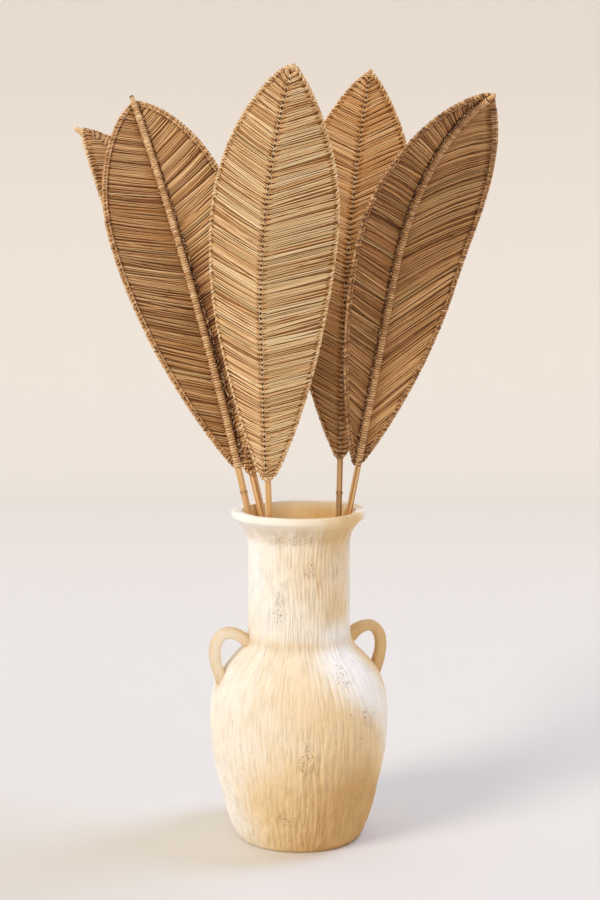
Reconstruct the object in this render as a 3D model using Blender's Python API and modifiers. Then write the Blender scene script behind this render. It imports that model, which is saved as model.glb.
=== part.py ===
"""Two-handled ceramic vase that holds five leaf-shaped panels of woven dried straw on canes.

Metres, +Z up. The origin is the centre of the vase's flat underside, and the front faces -Y.
"""
import math

import bmesh
import bpy
import numpy as np
from mathutils import Matrix, Vector

GAP = 0.0003  # clearance between neighbouring pieces

# Vase
FLOOR_Z = 0.012  # top of the vase's inside floor
VASE_STEPS = 40
# Radius and height of the outside, from the top of the lip down to the foot.
VASE_OUTSIDE = (
    (0.0835, 0.4520), (0.0885, 0.4510), (0.0911, 0.4472), (0.0909, 0.4418), (0.0880, 0.4368),
    (0.0818, 0.4320), (0.0763, 0.4272), (0.0726, 0.4210), (0.0704, 0.4125), (0.0692, 0.4020),
    (0.0687, 0.3850), (0.0688, 0.3000), (0.0705, 0.2780), (0.0765, 0.2640), (0.0870, 0.2535),
    (0.1000, 0.2395), (0.1110, 0.2220), (0.1178, 0.2020), (0.1210, 0.1790), (0.1213, 0.1560),
    (0.1193, 0.1270), (0.1150, 0.1010), (0.1085, 0.0720), (0.1008, 0.0420), (0.0930, 0.0190),
    (0.0872, 0.0050), (0.0830, 0.0000),
)
# Radius and height of the inside, from the floor up to the lip.
VASE_INSIDE = (
    (0.0680, 0.0120), (0.0830, 0.0220), (0.0930, 0.0460), (0.1060, 0.0990), (0.1120, 0.1400),
    (0.1126, 0.1740), (0.1090, 0.2000), (0.0960, 0.2270), (0.0760, 0.2480), (0.0655, 0.2650),
    (0.0630, 0.2850), (0.0630, 0.3750), (0.0640, 0.3940), (0.0662, 0.4100), (0.0705, 0.4290),
    (0.0740, 0.4440), (0.0780, 0.4504),
)

# Handles: the strap's centre line as distance from the axis and height, from neck to shoulder.
HANDLE_LINE = (
    (0.0680, 0.2715), (0.0740, 0.2757), (0.0825, 0.2822), (0.0920, 0.2862), (0.1015, 0.2866),
    (0.1095, 0.2826), (0.1147, 0.2752), (0.1173, 0.2660), (0.1177, 0.2560), (0.1163, 0.2455),
    (0.1135, 0.2350), (0.1095, 0.2250), (0.1050, 0.2170),
)
HANDLE_THICK = 0.0132
HANDLE_WIDE = 0.0180
HANDLE_POINTS = 17
HANDLE_TURNS = (math.radians(194.0), math.radians(14.0))  # left one towards the front

# Canes
RIM_Z = 0.440  # height at which each cane's rim point is given
NODE_SPACING = 0.170
NODE_SWELL = 0.0006
NODE_HALF = 0.0022
CANE_SIDES_RESOLUTION = 2
CANE_TIP_SHARE = 0.64  # the cane thins to this share of its radius at the blade's tip
BEND_SAG = 0.00015  # a bent cane's straight pieces stray this far from its curve
STRAIGHT_STEP = 0.060  # longest piece behind the blade where the cane is straight

# Straw bound round each cane behind its leaf
BINDING_WALL = 0.0009
BINDING_RING = 0.0003  # height of the winding's rings
BINDING_SIDES = 8
BINDING_MARGIN = 0.010  # it starts and ends this far inside the blade's ends

# Woven blade
BLADE_THICK = 0.0018
RIDGE_HEIGHT = 0.0007
BLADE_SEAT = -0.0003  # moves the blade towards its binding, whose flats lie inside its radius
RIDGES = 36  # chevron ridges on each side of the midline
STRAND_RISE = math.tan(math.radians(20.0))
WIDEST_AT = 0.61  # where along the leaf it is widest
LOWER_POWER = 0.85
UPPER_POWER = 0.70
FOOT_ROUND = 0.008
OUTLINE_STEPS = 240

# Hoop: the thin rod with its bound hem round the leaf's outline
HOOP_RADIUS = 0.0024
HOOP_HALF_POINTS = 24
BLADE_CLEARANCE = 0.0011  # between the hoop and the blade's edge, more than its chords cut off

STRAW = (0.56, 0.36, 0.18)
CANE = (0.62, 0.38, 0.16)
HEM = (0.46, 0.29, 0.15)
CERAMIC = (0.82, 0.70, 0.52)


class Leaf:
    """One leaf: where its cane passes the rim and stands on the floor, and the blade's pose."""

    def __init__(self, name, rim, foot, cane_radius, node, start, length, half_width,
                 foot_width, bend_start, bend, roll, twist, droop, front, past_tip):
        self.name = name
        self.rim = rim
        self.foot = foot
        self.cane_radius = cane_radius
        self.node = node  # the highest bare node ring is this far past the rim point
        self.start = start  # the blade starts this far past the rim point, along the cane
        self.length = length
        self.half_width = half_width
        self.foot_width = foot_width  # half the width of the blade's blunt lower end
        self.bend_start = bend_start
        self.bend = bend  # curvature to the right and to the back, one over metres
        self.roll = math.radians(roll)  # about the cane, the right side towards the front
        self.twist = math.radians(twist)  # change of roll from the lower end to the tip
        self.droop = math.radians(droop)  # each half bends this far back towards the cane
        self.front = front  # 1 if the woven face looks to the front, -1 if the bound side does
        self.past_tip = past_tip  # the cane ends this far past the blade


LEAVES = (
    Leaf("leaf_1", rim=(-0.0387, -0.0551), foot=(-0.0267, 0.0444), cane_radius=0.0043,
         node=-0.100, start=0.064, length=0.535, half_width=0.100, foot_width=0.0105,
         bend_start=0.254, bend=(0.84, -0.16), roll=12.4, twist=-5.1, droop=33.0, front=1,
         past_tip=0.003),
    Leaf("leaf_2", rim=(-0.0657, -0.0160), foot=(0.0238, 0.012), cane_radius=0.0045,
         node=0.038, start=0.070, length=0.542, half_width=0.096, foot_width=0.0045,
         bend_start=0.0, bend=(-0.25, 0.91), roll=-2.3, twist=-4.0, droop=24.9, front=-1,
         past_tip=0.008),
    Leaf("leaf_3", rim=(-0.0513, 0.0424), foot=(0.0507, -0.0366), cane_radius=0.0055,
         node=-0.105, start=0.053, length=0.561, half_width=0.098, foot_width=0.0045,
         bend_start=0.262, bend=(-2.15, 0.12), roll=-33.2, twist=-49.6, droop=12.8, front=1,
         past_tip=0.009),
    Leaf("leaf_4", rim=(0.0549, 0.0260), foot=(0.0449, 0.0078), cane_radius=0.0041,
         node=0.030, start=0.076, length=0.526, half_width=0.092, foot_width=0.0045,
         bend_start=0.189, bend=(0.33, 0.11), roll=6.4, twist=0.9, droop=20.6, front=1,
         past_tip=0.004),
    Leaf("leaf_5", rim=(0.0668, 0.0000), foot=(-0.0105, 0.0500), cane_radius=0.0041,
         node=-0.112, start=0.072, length=0.563, half_width=0.092, foot_width=0.0050,
         bend_start=0.336, bend=(1.58, -3.36), roll=-29.3, twist=-19.6, droop=21.2, front=-1,
         past_tip=0.009),
)


def clear_scene():
    for thing in list(bpy.data.objects):
        bpy.data.objects.remove(thing, do_unlink=True)


def new_collection(name):
    made = bpy.data.collections.new(name)
    bpy.context.scene.collection.children.link(made)
    return made


def material(name, colour, roughness):
    made = bpy.data.materials.new(name)
    made.use_nodes = True
    shader = made.node_tree.nodes["Principled BSDF"]
    shader.inputs["Base Color"].default_value = (*colour, 1.0)
    shader.inputs["Roughness"].default_value = roughness
    shader.inputs["Metallic"].default_value = 0.0
    return made


def add_object(name, mesh, collection, finish):
    thing = bpy.data.objects.new(name, mesh)
    collection.objects.link(thing)
    mesh.materials.clear()
    mesh.materials.append(finish)
    return thing


def mesh_from(name, points, faces):
    mesh = bpy.data.meshes.new(name)
    mesh.from_pydata([tuple(p) for p in points], [], faces)
    mesh.validate()
    return mesh


def smooth(mesh, sharp_above):
    mesh.shade_smooth()
    mesh.set_sharp_from_angle(angle=math.radians(sharp_above))


def curve_mesh(name, points, radius, cyclic, radii=None):
    """A round tube along the points, made a mesh and welded."""
    curve = bpy.data.curves.new(name, "CURVE")
    curve.dimensions = "3D"
    curve.bevel_depth = radius
    curve.bevel_resolution = CANE_SIDES_RESOLUTION
    curve.use_fill_caps = True
    spline = curve.splines.new("POLY")
    spline.points.add(len(points) - 1)
    for index, place in enumerate(points):
        spline.points[index].co = (*place, 1.0)
        spline.points[index].radius = radii[index] if radii is not None else 1.0
    spline.use_cyclic_u = cyclic
    tube = bpy.data.objects.new(name, curve)
    bpy.context.scene.collection.objects.link(tube)
    bpy.context.view_layer.update()
    evaluated = tube.evaluated_get(bpy.context.evaluated_depsgraph_get())
    mesh = bpy.data.meshes.new_from_object(evaluated)
    shape = bmesh.new()
    shape.from_mesh(mesh)
    bmesh.ops.remove_doubles(shape, verts=shape.verts, dist=0.00002)
    bmesh.ops.recalc_face_normals(shape, faces=shape.faces)
    shape.to_mesh(mesh)
    shape.free()
    bpy.data.objects.remove(tube, do_unlink=True)
    return mesh


def smooth_line(points, count):
    """A curve through the points, read at evenly spaced places along it."""
    points = np.array(points, float)
    ends = np.vstack([2 * points[0] - points[1], points, 2 * points[-1] - points[-2]])
    dense = []
    for k in range(1, len(ends) - 2):
        a, b, c, d = ends[k - 1:k + 3]
        for t in np.linspace(0.0, 1.0, 12, endpoint=False):
            dense.append(0.5 * (2 * b + (c - a) * t + (2 * a - 5 * b + 4 * c - d) * t ** 2
                                + (3 * b - a - 3 * c + d) * t ** 3))
    dense = np.array(dense + [points[-1]])
    along = np.concatenate([[0.0], np.cumsum(np.linalg.norm(np.diff(dense, axis=0), axis=1))])
    places = np.linspace(0.0, along[-1], count)
    return np.stack([np.interp(places, along, dense[:, i]) for i in range(dense.shape[1])], -1)


def vase_body(collection, finish):
    """The turned body with its inside, from one profile that runs up inside and down outside."""
    profile = [(0.0, FLOOR_Z), *VASE_INSIDE, *VASE_OUTSIDE, (0.0, 0.0)]
    mesh = bpy.data.meshes.new("vase")
    mesh.from_pydata([(r, 0.0, z) for r, z in profile],
                     [(k, k + 1) for k in range(len(profile) - 1)], [])
    body = add_object("vase", mesh, collection, finish)
    turn = body.modifiers.new("turn", "SCREW")
    turn.axis = "Z"
    turn.steps = VASE_STEPS
    turn.render_steps = VASE_STEPS
    turn.use_merge_vertices = True
    turn.merge_threshold = 0.00005
    return body


def handle(index, turn, collection, finish):
    """One oval strap from the neck to the shoulder, both ends sunk in the wall."""
    line = smooth_line(HANDLE_LINE, HANDLE_POINTS)
    mesh = curve_mesh("handle_%d" % index, [(r, 0.0, z) for r, z in line],
                      HANDLE_THICK / 2, False)
    mesh.transform(Matrix.Scale(HANDLE_WIDE / HANDLE_THICK, 4, Vector((0.0, 1.0, 0.0))))
    mesh.transform(Matrix.Rotation(turn, 4, "Z"))
    strap = add_object("handle_%d" % index, mesh, collection, finish)
    strap.hide_render = True
    strap.display_type = "WIRE"
    return strap


def make_vase(parts, cutters):
    finish = material("vase_ceramic", CERAMIC, 0.75)
    body = vase_body(parts, finish)
    for index, turn in enumerate(HANDLE_TURNS):
        join = body.modifiers.new("handle_%d" % index, "BOOLEAN")
        join.operation = "UNION"
        join.solver = "EXACT"
        join.object = handle(index, turn, cutters, finish)
    return body


def cane_path(leaf, distances):
    """Points and directions of the cane at distances past its rim point, negative ones below."""
    rise = RIM_Z - FLOOR_Z
    straight = np.array([leaf.rim[0] - leaf.foot[0], leaf.rim[1] - leaf.foot[1], rise])
    straight /= np.linalg.norm(straight)
    across = np.array([leaf.bend[0], leaf.bend[1], 0.0])
    across -= (across @ straight) * straight
    across /= np.linalg.norm(across)
    curvature = math.hypot(*leaf.bend)
    bent = np.clip(np.asarray(distances, float) - leaf.bend_start, 0.0, None)
    before = np.minimum(distances, leaf.bend_start)
    turned = bent * curvature
    points = (np.array([*leaf.rim, RIM_Z])
              + before[:, None] * straight
              + (np.sin(turned) / curvature)[:, None] * straight
              + ((1.0 - np.cos(turned)) / curvature)[:, None] * across)
    directions = np.cos(turned)[:, None] * straight + np.sin(turned)[:, None] * across
    return points, directions


def cane_radius(leaf, distances):
    """The cane's radius, even below the blade and thinner towards the tip."""
    share = np.clip((np.asarray(distances, float) - leaf.start) / leaf.length, 0.0, 1.0)
    return leaf.cane_radius * (1.0 - (1.0 - CANE_TIP_SHARE) * share)


def even_steps(start, end, step):
    return np.linspace(start, end, math.ceil((end - start) / step) + 1)


def binding_places(leaf):
    """Where the cane and its binding are both cut into straight pieces, behind the blade."""
    low = leaf.start + BINDING_MARGIN
    high = leaf.start + leaf.length - BINDING_MARGIN
    step = math.sqrt(8.0 * BEND_SAG / math.hypot(*leaf.bend))
    bend = max(low, leaf.bend_start)
    bent = even_steps(bend, high, step)
    if bend == low:
        return bent
    return np.concatenate([even_steps(low, bend, STRAIGHT_STEP)[:-1], bent])


def frames(leaf, distances):
    """Cane points, and the blade's right and woven-face directions there."""
    points, directions = cane_path(leaf, distances)
    viewer = np.array([0.0, -1.0, 0.0])
    facing = viewer - (directions @ viewer)[:, None] * directions
    facing /= np.linalg.norm(facing, axis=1)[:, None]
    side = np.cross(directions, facing)
    share = (np.asarray(distances) - leaf.start) / leaf.length
    roll = (leaf.roll + leaf.twist * (share - 0.5))[:, None]
    right = side * np.cos(roll) + facing * np.sin(roll)
    woven = (facing * np.cos(roll) - side * np.sin(roll)) * leaf.front
    return points, directions, right, woven


def stack_height(leaf, distances):
    """Distance from the cane's axis to the middle of the blade, in front of the binding."""
    outer = cane_radius(leaf, distances) + GAP + BINDING_WALL + BINDING_RING
    return (outer + GAP + BLADE_THICK / 2 + RIDGE_HEIGHT) / math.cos(leaf.droop) + BLADE_SEAT


def half_width(leaf, y):
    """Half the leaf's width at a distance y from its lower end."""
    share = np.clip(np.asarray(y, float) / leaf.length, 0.0, 1.0)
    rise = np.sin(math.pi / 2 * np.clip(share / WIDEST_AT, 0.0, 1.0)) ** LOWER_POWER
    lower = leaf.foot_width + (leaf.half_width - leaf.foot_width) * rise
    lower = lower * np.sqrt(1.0 - (1.0 - np.clip(y / FOOT_ROUND, 0.0, 1.0)) ** 2)
    fall = np.sin(math.pi / 2 * np.clip((1.0 - share) / (1.0 - WIDEST_AT), 0.0, 1.0))
    upper = leaf.half_width * fall ** UPPER_POWER
    return np.where(share < WIDEST_AT, lower, upper)


def inset_outline(leaf, inset):
    """The right half of the outline moved inwards, as distances across and along, foot to tip."""
    angle = np.linspace(0.0, math.pi, OUTLINE_STEPS)[1:-1]
    y = leaf.length * (1.0 - np.cos(angle)) / 2.0
    x = half_width(leaf, y)
    along = np.gradient(np.stack([x, y], -1), axis=0)
    along /= np.linalg.norm(along, axis=1)[:, None]
    x, y = x - inset * along[:, 1], y + inset * along[:, 0]
    kept = (x > 0.0) & (y >= np.maximum.accumulate(y))
    return x[kept], y[kept]


def on_blade(leaf, x, y, lift):
    """Points of the blade at signed distance x across and y along, lifted off its middle."""
    x, y, lift = (np.asarray(v, float) for v in np.broadcast_arrays(x, y, lift))
    points, _, right, woven = frames(leaf, leaf.start + y)
    drop = math.sin(leaf.droop)
    reach = math.cos(leaf.droop)
    outwards = right * (x * reach)[:, None] - woven * (np.abs(x) * drop)[:, None]
    normal = woven * reach + right * (np.sign(x) * drop)[:, None]
    stack = stack_height(leaf, leaf.start + y)[:, None]
    return points + woven * stack + outwards + normal * lift[:, None]


def make_stem(leaf, parts):
    """The cane from the vase's floor to just past the tip, with raised node rings."""
    rise = RIM_Z - FLOOR_Z
    lean = math.dist(leaf.rim, leaf.foot) / rise
    bottom = -math.hypot(rise, rise * lean) + GAP + leaf.cane_radius * lean
    top = leaf.start + leaf.length + leaf.past_tip
    behind = binding_places(leaf)
    places = {float(place): 0.0 for place in (bottom, *behind, top)}
    if leaf.bend_start < behind[0]:
        for place in even_steps(leaf.bend_start, behind[0], behind[1] - behind[0]):
            places[float(place)] = 0.0
    for node in np.arange(leaf.node, bottom + NODE_SPACING / 4, -NODE_SPACING):
        places = {p: s for p, s in places.items() if abs(p - node) > 2.5 * NODE_HALF}
        places[float(node) - NODE_HALF] = 0.0
        places[float(node)] = NODE_SWELL
        places[float(node) + NODE_HALF] = 0.0
    distances = np.array(sorted(places))
    points, _ = cane_path(leaf, distances)
    radii = cane_radius(leaf, distances) + np.array([places[d] for d in distances])
    mesh = curve_mesh(leaf.name + "_stem", points, leaf.cane_radius, False,
                      radii / leaf.cane_radius)
    smooth(mesh, 35.0)
    add_object(leaf.name + "_stem", mesh, parts, material(leaf.name + "_cane", CANE, 0.45))


def make_binding(leaf, parts):
    """Straw wound round the cane: a ringed sleeve with a clear bore."""
    distances = binding_places(leaf)
    points, _, right, woven = frames(leaf, distances)
    cane = cane_radius(leaf, distances)
    rings = len(points)
    vertices = []
    for k in range(rings):
        bore = (cane[k] + GAP) / math.cos(math.pi / BINDING_SIDES)
        outer = cane[k] + GAP + BINDING_WALL + (BINDING_RING if k % 2 else 0.0)
        for size in (bore, outer):
            for side in range(BINDING_SIDES):
                turn = 2 * math.pi * side / BINDING_SIDES
                vertices.append(points[k] + size * (math.cos(turn) * right[k]
                                                    - math.sin(turn) * woven[k] * leaf.front))
    faces = []
    ring = 2 * BINDING_SIDES
    for side in range(BINDING_SIDES):
        after = (side + 1) % BINDING_SIDES
        for k in range(rings - 1):
            a, b = k * ring, (k + 1) * ring
            faces.append((a + after, a + side, b + side, b + after))
            a, b = a + BINDING_SIDES, b + BINDING_SIDES
            faces.append((a + side, a + after, b + after, b + side))
        last = (rings - 1) * ring
        faces.append((side, after, BINDING_SIDES + after, BINDING_SIDES + side))
        faces.append((last + after, last + side, last + BINDING_SIDES + side,
                      last + BINDING_SIDES + after))
    mesh = mesh_from(leaf.name + "_binding", vertices, faces)
    finish = material(leaf.name + "_bound_straw", STRAW, 0.8)
    add_object(leaf.name + "_binding", mesh, parts, finish)


def strand_ends(leaf, starts, inset):
    """Where a strand that leaves the midline at each start meets the inset outline."""
    edge_x, edge_y = inset_outline(leaf, inset)
    edge_x = np.concatenate([[0.0], edge_x, [0.0]])
    edge_y = np.concatenate([edge_y[:1], edge_y, edge_y[-1:] + edge_x[-2] / 2])
    ends = []
    for start in starts:
        level = edge_y - start - edge_x * STRAND_RISE
        crossing = np.nonzero((level[:-1] < 0.0) & (level[1:] >= 0.0))[0][-1]
        share = level[crossing] / (level[crossing] - level[crossing + 1])
        ends.append(edge_x[crossing] + share * (edge_x[crossing + 1] - edge_x[crossing]))
    return np.array(ends)


def make_blade(leaf, parts):
    """The woven panel: chevron ridges from midline to hem, on a thin folded and curved sheet."""
    inset = 2 * HOOP_RADIUS + BLADE_CLEARANCE
    _, edge_y = inset_outline(leaf, inset)
    rows = 2 * RIDGES + 1
    starts = np.linspace(edge_y[0] + 0.004, edge_y[-1] - 0.003, rows)
    ends = strand_ends(leaf, starts, inset)
    lift = np.where(np.arange(rows) % 2, RIDGE_HEIGHT, -RIDGE_HEIGHT)
    columns = []
    for share in (-1.0, 0.0, 1.0):
        x = ends * share
        columns.append(on_blade(leaf, x, starts + np.abs(x) * STRAND_RISE, lift))
    vertices = np.concatenate(columns)
    faces = []
    for c in range(len(columns) - 1):
        for k in range(rows - 1):
            a, b = c * rows + k, (c + 1) * rows + k
            if c == 0:
                faces.extend([(a, b, b + 1), (a, b + 1, a + 1)])
            else:
                faces.extend([(a, b, a + 1), (b, b + 1, a + 1)])
    mesh = mesh_from(leaf.name + "_blade", vertices, faces)
    blade = add_object(leaf.name + "_blade", mesh, parts,
                       material(leaf.name + "_woven_straw", STRAW, 0.7))
    shell = blade.modifiers.new("thickness", "SOLIDIFY")
    shell.thickness = BLADE_THICK
    shell.offset = 0.0
    shell.use_even_offset = False


def make_hoop(leaf, parts):
    """The closed rod round the blade's border, in the blade's own curved surface."""
    x, y = inset_outline(leaf, HOOP_RADIUS)
    picked = np.linspace(0, len(x) - 1, HOOP_HALF_POINTS).astype(int)
    half = np.stack([x, y], -1)[picked]
    left = half[::-1] * np.array([-1.0, 1.0])
    loop = np.concatenate([half, left])
    points = on_blade(leaf, loop[:, 0], loop[:, 1], np.zeros(len(loop)))
    mesh = curve_mesh(leaf.name + "_hoop", points, HOOP_RADIUS, True)
    smooth(mesh, 60.0)
    add_object(leaf.name + "_hoop", mesh, parts, material(leaf.name + "_hem", HEM, 0.75))


def main():
    clear_scene()
    parts = new_collection("vase_of_woven_straw_leaves")
    cutters = new_collection("cutters")
    make_vase(parts, cutters)
    for leaf in LEAVES:
        make_stem(leaf, parts)
        make_binding(leaf, parts)
        make_blade(leaf, parts)
        make_hoop(leaf, parts)


main()
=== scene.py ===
"""Looks of the ceramic vase with its five woven straw leaves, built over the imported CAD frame.

Metres, +Z up, the front faces -Y. Every leaf follows the same cane line and folded sheet as its
CAD nodes, so that each piece here lies where its node is.
"""

import bpy
import numpy as np
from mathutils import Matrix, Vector


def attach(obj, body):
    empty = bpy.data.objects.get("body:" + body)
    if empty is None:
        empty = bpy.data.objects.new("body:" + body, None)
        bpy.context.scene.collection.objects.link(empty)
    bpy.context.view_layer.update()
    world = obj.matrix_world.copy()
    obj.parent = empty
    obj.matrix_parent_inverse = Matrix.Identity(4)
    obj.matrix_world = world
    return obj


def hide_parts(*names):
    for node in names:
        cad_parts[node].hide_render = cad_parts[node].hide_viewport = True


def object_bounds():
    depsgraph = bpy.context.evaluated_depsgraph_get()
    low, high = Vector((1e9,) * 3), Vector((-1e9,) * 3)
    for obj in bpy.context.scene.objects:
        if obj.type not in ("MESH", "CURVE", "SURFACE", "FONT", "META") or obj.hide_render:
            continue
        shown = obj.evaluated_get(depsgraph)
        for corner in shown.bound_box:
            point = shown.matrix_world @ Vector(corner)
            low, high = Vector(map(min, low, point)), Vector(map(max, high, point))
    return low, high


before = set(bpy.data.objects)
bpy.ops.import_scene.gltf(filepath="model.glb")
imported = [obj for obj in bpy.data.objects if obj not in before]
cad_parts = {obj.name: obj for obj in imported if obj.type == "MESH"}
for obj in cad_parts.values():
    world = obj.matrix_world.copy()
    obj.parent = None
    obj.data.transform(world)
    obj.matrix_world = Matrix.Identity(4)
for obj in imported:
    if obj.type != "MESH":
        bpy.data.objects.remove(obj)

cad_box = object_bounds()

MM = 0.001

# Camera and studio
CAMERA_PLACE = (0.0017, -2.11, 0.78)
CAMERA_TILT = np.radians(83.3)
CAMERA_LENS = 63
FLOOR_COLOUR = (224, 219, 212)
FLOOR_REACH = 12
SWEEP_START = 3  # behind the vase, where the floor begins to sweep up into the backdrop
SWEEP_RADIUS = 1.6
WORLD_COLOUR = (1, 0.97, 0.93, 1)
WORLD_STRENGTH = 0.6
# Broad distant lights: the side that each comes from, strength, spread in degrees and colour.
LIGHTS = (
    ("key", (-0.66, -0.54, 0.52), 1.75, 24, (1, 0.965, 0.92)),
    ("fill", (0.75, -0.62, 0.1), 0.45, 60, (1, 0.62, 0.3)),
    ("edge", (0.45, 0.12, 0.88), 1.3, 20, (0.46, 0.62, 1)),
)

# Vase
RIM_Z = 0.44  # height at which each cane's rim point is given
FLOOR_Z = 0.012  # top of the vase's inside floor
VASE_TOP = 0.452
# Profiles: radius and height in millimetres.
VASE_OUTSIDE = (
    (78, 450.8), (83.5, 451.9), (89.6, 451.9), (91.3, 451.1), (91.8, 449.4), (91.9, 444.2),
    (91.1, 442.4), (88, 440.2), (84.6, 437.2), (80, 432.2), (75.8, 426.5), (72.4, 420),
    (70.4, 412.5), (69.2, 402), (68.7, 385), (68.8, 300), (70.5, 278), (76.5, 264),
    (87, 253.5), (100, 239.5), (111, 222), (117.8, 202), (121, 179), (121.3, 156),
    (119.3, 127), (115, 101), (108.5, 72), (100.8, 42), (93, 19), (87.2, 5),
    (83, 0), (78, 0), (70, 0.6), (1, 0.6),
)
VASE_INSIDE = (
    (1, 12), (68, 12), (83, 22), (93, 46), (106, 99), (112, 140),
    (112.6, 174), (109, 200), (96, 227), (76, 248), (65.5, 265), (63, 285),
    (63, 375), (64, 394), (66.2, 410), (70.5, 429), (74, 444), (78, 450.8),
)
VASE_SIDES = 448
VASE_ROWS = 196
ROW_EASE = 1.25  # above 1, the rows lie closer together at the lip
WRAP_RADIUS = 0.1  # of the cylinder on which the vase's look is read
INSIDE_SIDES = 96
INSIDE_ROWS = 48
COMB_RELIEF = 0.0006  # depth of the upright combing
COMB_TOP = (0.432, 0.418)  # it sets in between these heights, below the lip
COMB_STROKES = 76  # its strokes round the vase
# Where pits gather: degrees from the front, and in millimetres height, half width, half height.
PITTED = (
    (-24, 322, 13, 30), (14, 384, 8, 14), (50, 182, 22, 26), (36, 238, 16, 18), (4, 135, 13, 24),
    (-14, 54, 15, 14), (-4, 419, 52, 8), (150, 190, 30, 40), (205, 330, 16, 34), (250, 110, 24, 30),
)
# Ochre washes, partly the ware's own ochre and partly painted shade away from the key light and low
# down; the negative one is painted light, paler on the lit side of the neck. Columns: share, turn at
# which each is deepest, and the heights over which it comes in.
SHADE_WASHES = ((0.36, -38, -2, -1), (0.34, -50, 0.17, 0.05), (-0.19, -110, 0.26, 0.31))
DRIP_TURNS = (2, 11)  # the glaze drip wanders between these, in degrees from the front
DRIP_HEIGHTS = (0.086, 0.113, 0.145, 0.156)  # its foot, bend, full width and top
DRIP_HALF_WIDTH = 0.0024
DRIP_RELIEF = 0.0021
HANDLE_LINE = (
    (68, 271.5), (74, 275.7), (82.5, 282.2), (92, 286.2), (101.5, 286.6), (109.5, 282.6),
    (114.7, 275.2), (117.3, 266), (117.7, 256), (116.3, 245.5), (113.5, 235), (109.5, 225),
    (105, 217),
)
HANDLE_THICK = 0.015
WAIST = 0.277  # height at which the neck meets the shoulder
HANDLE_STEPS = 72
HANDLE_SIDES = 32
HANDLE_POWER = 3.4  # of its squarish section, where 2 gives an ellipse
HANDLE_SHIFT = 0.0009  # the strap thickens towards the finger gap
HANDLE_WIDE = 0.0178
HANDLE_FLARE = 0.22  # how much thicker the strap is where it meets the body
# The right strap, turned from the key light, gets more ochre as painted shade.
HANDLE_SHADE_WASH = {"left": 0.42, "right": 0.84}  # how ochre each strap is
HANDLE_ENDS = ((0.274, 0.0014), (0.22, 0.001))  # height, and how far clay is pressed out there
HANDLE_TURNS = {"left": np.radians(194), "right": np.radians(14)}

# Canes
GAP = 0.0003
CANE_TIP_SHARE = 0.64  # the cane thins to this share of its radius at the blade's tip
NODE_SPACING = 0.17
NODE_SWELL = 0.001
NODE_GROOVE = 0.0004
NODE_HALF = 0.0016
CANE_STEP = 0.012
CANE_SIDES = 20

# Straw wound round each cane
WINDING_PITCH = 0.0034
WINDING_START = 0.003  # inside the blade's lower end
WINDING_END = 0.004  # and its upper one
WINDING_BASE = 0.0002  # its hollows lie this far off the cane
WINDING_SWELL = 0.0006
WINDING_TAPER = 0.35  # how much of the cane's taper shows through it
WINDING_LIGHTER = {1: 0.05, -1: 0.15}  # it is paler where the leaf's bound side shows
WINDING_SIDES = 12
WINDING_TILT = 0.0011
TIE_PITCH = 0.012
TIE_INSET = 0.004  # from the winding's ends to the ties'
TIE_HALF = (0.0004, 0.0002)

# Woven sheet
BLADE_SEAT = 0.0024  # from the winding's outside to the middle of the sheet
RIDGE_SOFTNESS = 0.0015
CAMBER = 0.0016  # each half arches this far towards the woven face
WIDEST_AT = 0.61
LOWER_POWER = 0.85
UPPER_POWER = 0.7
FOOT_ROUND = 0.008
RISE_SHARES = (0.1, 0.3, 0.5, 0.7, 0.9)  # along the leaf, where each half's rise is given
FOOT_FAN = (0.03, 12)  # within this of the foot the straws fan down to this rise
TIP_FAN = (0.04, 58)  # and within this of the tip they fan up to this one
BUNDLE_PITCH = 0.0066
BUNDLES = 120  # more than the longest leaf has
FIRST_GAP = 0.002
LAST_GAP = 0.003
STRAW_SPACING = 0.0019
FIBRE_LENGTH = 0.012
GRAIN_SPREAD = 60  # how far apart the fibre patterns of two straws can lie
STRAW_HALF_WIDTH = 0.00092
STRAW_HALF_HEIGHT = 0.0006
LAYER_LIFT = 0.00055
STRAW_INSET = 0.0026  # the straws end this far inside the outline, on the outer cord
FROM_MIDLINE = (0, 0.0025, 0.0085)  # where a straw is bent near the midline
FROM_HEM = (0.0085, 0.0042, 0.0016, 0)  # and before its end at the hem
SHORT_STRAW = 0.026  # in shorter ones these bends lie closer together
PINCH = 0.0042  # this far before their ends the straws of a bundle are drawn together
# The middle layer's dark is painted shade, seen in the gaps between the straws.
SHADOW_LAYER_SPACING = 0.0026  # flat dark straws between the two layers
SHADOW_LAYER_HALF = (0.00165, 0.00012)
SHADOW_LAYER_START = 0.0008  # they begin this far off the midline and reach under the cord

# Hem: a cord along the edge, a rod beside it on the bound side, and the lashings over both
OUTER_CORD = 0.00155
INNER_ROD = 0.0011
OUTER_INSET = 0.0017
INNER_INSET = 0.0056
ROD_LIFT = -0.0017
HEM_STEP = 0.003  # between the points of the cord and of the rod
LASHING_PITCH = 0.006
LASHING_THIN = 0.0004  # half its thickness
# One turn of a lashing in millimetres: how far inside the outline, off the sheet and along, and half
# its width there.
LASHING_TURN = (
    (0.4, 0.6, 1.6, 1.8), (1.4, 2, 1, 1.8), (3, 2.4, 0, 1.6), (4.2, 1.7, -1, 1.2),
    (4.8, 0, -1.6, 0.9), (7, -1.2, -1.4, 0.9), (6.6, -2.7, -0.8, 0.9), (5.4, -3.2, -0.3, 1),
    (4, -2.5, 0, 1), (2.8, -1.9, 0.6, 1.1), (1.3, -1.9, 1, 1.4), (0.4, -0.8, 1.5, 1.8),
)

# Crossed stitch along the midline of the woven face
STITCH_REACH = 0.0034
STITCH_HALF = (0.00058, 0.0004)
WRAP_SPACING = 0.0024  # between the turns that close each end of a leaf
WRAP_HALF = 0.0115  # the most that these reach to either side
WRAP_OFF = 0.0016  # how far they stand off the sheet and the cane
ROOT_RISE = np.radians(18)
# The knots lie in the cane's painted shadow.
KNOT_SPACING = 0.0008  # between the short ends of the stitching in a gutter
KNOT_LIFT = np.array([-0.0029, -0.0033, -0.0029])

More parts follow.
